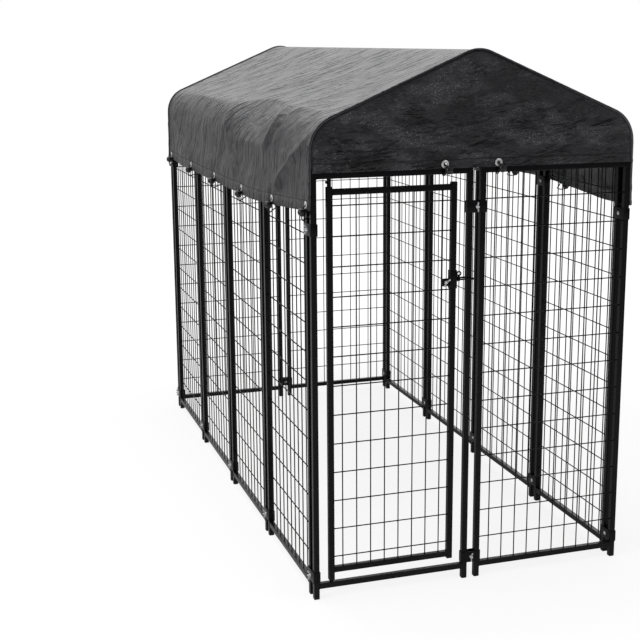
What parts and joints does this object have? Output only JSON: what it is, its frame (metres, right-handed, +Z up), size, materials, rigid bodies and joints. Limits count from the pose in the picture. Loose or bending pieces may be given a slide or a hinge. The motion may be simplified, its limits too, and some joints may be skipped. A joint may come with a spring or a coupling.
{
  "type": "modular outdoor cage",
  "caption": "Walk-in outdoor dog cage of welded wire panels clamped post to post, with a swinging gate, fork latch and gabled tarp roof.",
  "frame": {"origin": "on the floor, under the middle of the cage", "axes": "+X across the front to the right as seen from outside the gate, +Y from the gate to the back, +Z up"},
  "size_m": [1.2184, 2.5, 1.8621],
  "materials": {
    "powder_coat": "satin black powder coat on square tube and welded wire",
    "clamp_coat": "semi-gloss black on stamped steel",
    "latch_coat": "semi-gloss black on bent plate and rod",
    "roof_coat": "satin black on round tube",
    "zinc": "bright zinc plate",
    "tarp": "woven and coated charcoal tarp with a slight sheen"
  },
  "bodies": {
    "frame": {"gate_surround": "powder_coat", "front_panel": "powder_coat", "back_panel_1": "powder_coat", "back_panel_2": "powder_coat", "left_panel_1": "powder_coat", "left_panel_2": "powder_coat", "left_panel_3": "powder_coat", "left_panel_4": "powder_coat", "right_panel_1": "powder_coat", "right_panel_2": "powder_coat", "right_panel_3": "powder_coat", "right_panel_4": "powder_coat", "front_clamp_lower": "clamp_coat", "front_clamp_upper": "clamp_coat", "back_clamp_lower": "clamp_coat", "back_clamp_upper": "clamp_coat", "left_clamp_1_lower": "clamp_coat", "left_clamp_1_upper": "clamp_coat", "left_clamp_2_lower": "clamp_coat", "left_clamp_2_upper": "clamp_coat", "left_clamp_3_lower": "clamp_coat", "left_clamp_3_upper": "clamp_coat", "left_clamp_4_lower": "clamp_coat", "left_clamp_4_upper": "clamp_coat", "left_clamp_5_lower": "clamp_coat", "left_clamp_5_upper": "clamp_coat", "right_clamp_1_lower": "clamp_coat", "right_clamp_1_upper": "clamp_coat", "right_clamp_2_lower": "clamp_coat", "right_clamp_2_upper": "clamp_coat", "right_clamp_3_lower": "clamp_coat", "right_clamp_3_upper": "clamp_coat", "right_clamp_4_lower": "clamp_coat", "right_clamp_4_upper": "clamp_coat", "right_clamp_5_lower": "clamp_coat", "right_clamp_5_upper": "clamp_coat", "hinge_pin_upper": "latch_coat", "hinge_pin_lower": "latch_coat", "front_rafter_right": "roof_coat", "front_rafter_left": "roof_coat", "middle_rafter_right": "roof_coat", "middle_rafter_left": "roof_coat", "back_rafter_right": "roof_coat", "back_rafter_left": "roof_coat", "ridge_fitting_front": "roof_coat", "ridge_fitting_middle": "roof_coat", "ridge_fitting_back": "roof_coat", "ridge_pole_front": "roof_coat", "ridge_pole_middle": "roof_coat", "canopy": "tarp"},
    "gate": {"gate_leaf": "powder_coat", "latch_body_front": "latch_coat", "latch_body_back": "latch_coat", "latch_bolt": "zinc", "latch_wing_nut": "zinc"},
    "fork": {"latch_fork": "latch_coat"}
  },
  "joints": [
    {"name": "gate_swing", "type": "hinge", "parent": "frame", "child": "gate", "pos_m": [-0.521, -1.224, 0.75], "axis": [0, 0, -1], "range_deg": [-90, 150]},
    {"name": "fork_lift", "type": "hinge", "parent": "gate", "child": "fork", "pos_m": [-0.0627, -1.224, 1.0963], "axis": [0, -1, 0], "range_deg": [0, 100]}
  ]
}
